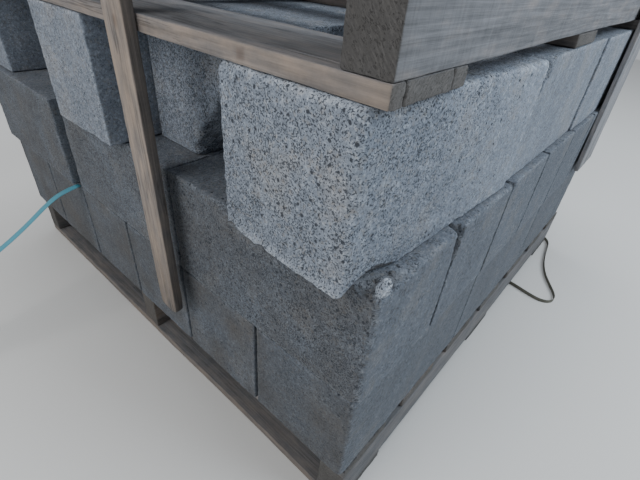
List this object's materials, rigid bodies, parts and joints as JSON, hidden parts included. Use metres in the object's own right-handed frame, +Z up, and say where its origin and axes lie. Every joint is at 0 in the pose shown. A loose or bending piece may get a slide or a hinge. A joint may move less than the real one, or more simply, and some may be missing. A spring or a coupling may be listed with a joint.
{
  "type": "pallet of concrete blocks",
  "caption": "wooden pallet loaded with solid concrete blocks in crossed, uneven courses, with a second pallet laid on top, upright slats and loose strapping",
  "frame": {"origin": "centre of the lower pallet's underside, on the surface that it stands on", "axes": "+X along the bearers and the blocks of the lowest course, from the left side to the far end of the right side; +Y along the pallet's boards, from the right side to the far end of the left side; +Z up"},
  "size_m": [1.823, 1.3587, 0.8182],
  "materials": {
    "concrete": "rough, pitted",
    "wood": "rough sawn, weathered",
    "strap": "satin woven",
    "band": "dull"
  },
  "bodies": {
    "root": {"corner_block": "concrete", "course_1_row_1": "concrete", "course_1_row_2": "concrete", "course_1_row_3": "concrete", "course_1_row_4": "concrete", "course_1_row_5": "concrete", "course_1_row_6": "concrete", "course_2_row_1": "concrete", "course_2_row_2": "concrete", "course_2_row_3": "concrete", "course_2_row_4": "concrete", "course_2_row_5": "concrete", "course_2_row_6": "concrete", "course_3_row_1": "concrete", "course_3_row_2": "concrete", "course_3_row_3": "concrete", "course_3_row_4": "concrete", "course_3_row_5": "concrete", "floor_band_loop": "band", "left_slat": "wood", "loose_strap": "strap", "lower_pallet_bearer_far": "wood", "lower_pallet_bearer_middle": "wood", "lower_pallet_bearer_near": "wood", "lower_pallet_bottom_board_1": "wood", "lower_pallet_bottom_board_2": "wood", "lower_pallet_bottom_board_3": "wood", "lower_pallet_deck_board_1": "wood", "lower_pallet_deck_board_2": "wood", "lower_pallet_deck_board_3": "wood", "lower_pallet_deck_board_4": "wood", "lower_pallet_deck_board_5": "wood", "lower_pallet_deck_board_6": "wood", "lower_pallet_deck_board_7": "wood", "pushed_in_block": "concrete", "right_slat": "wood", "upper_pallet_bearer_far": "wood", "upper_pallet_bearer_middle": "wood", "upper_pallet_bearer_near": "wood", "upper_pallet_bottom_board_1": "wood", "upper_pallet_bottom_board_2": "wood", "upper_pallet_bottom_board_3": "wood", "upper_pallet_deck_board_1": "wood", "upper_pallet_deck_board_2": "wood", "upper_pallet_deck_board_3": "wood", "upper_pallet_deck_board_4": "wood", "upper_pallet_deck_board_5": "wood", "upper_pallet_deck_board_6": "wood", "upper_pallet_deck_board_7": "wood"}
  },
  "joints": []
}
